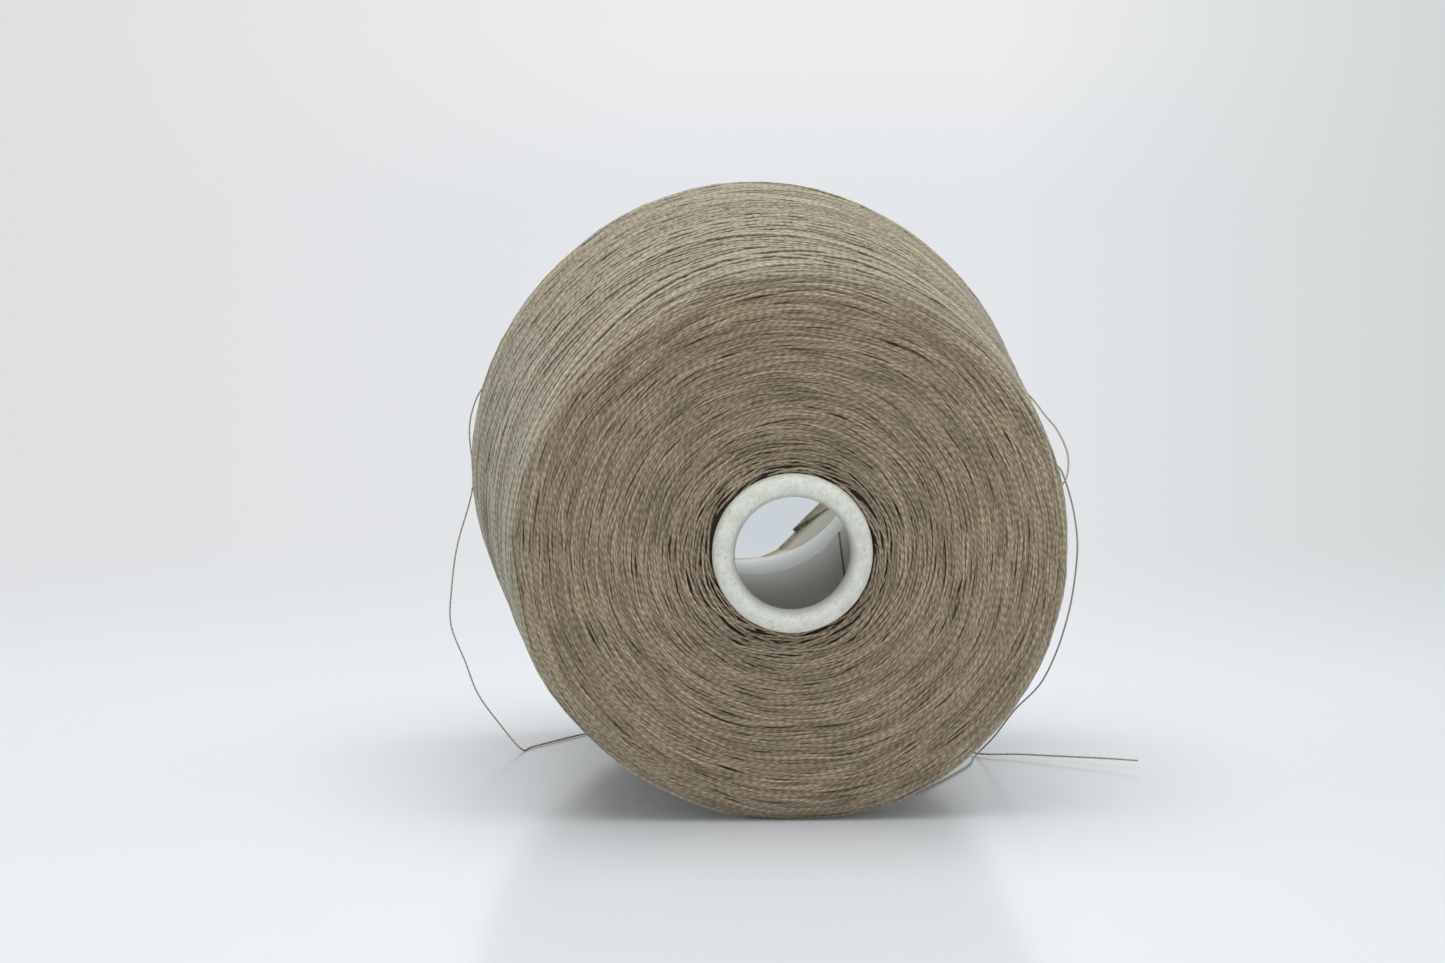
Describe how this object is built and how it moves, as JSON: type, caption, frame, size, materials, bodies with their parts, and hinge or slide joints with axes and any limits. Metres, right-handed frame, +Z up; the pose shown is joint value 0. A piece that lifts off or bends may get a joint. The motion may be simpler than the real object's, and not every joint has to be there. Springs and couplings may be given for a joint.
{
  "type": "cone of yarn",
  "caption": "Cross-wound yarn package on a tapered paper tube with a rolled nose, lying on its side with slack turns and a loose end.",
  "frame": {"origin": "on the floor, in the middle of the box of the package and its tube, loose yarn left out", "axes": "+Y from the nose to the base, +Z up; the package lies on its side, so its axis climbs 5.9 degrees from the nose to the base, and +X is to the right seen from the nose"},
  "size_m": [0.1652, 0.1794, 0.1405],
  "materials": {
    "board": "matt off-white board",
    "light_paper": "matt light blue-grey paper",
    "grey_paper": "matt dark grey paper",
    "yarn": "marled taupe spun yarn"
  },
  "bodies": {
    "root": {"paper_tube": "board", "light_ply": "light_paper", "grey_ply": "grey_paper", "yarn_package": "yarn", "outer_strands": "yarn", "upper_slack": "yarn", "lower_slack": "yarn", "yarn_tail": "yarn"}
  },
  "joints": []
}
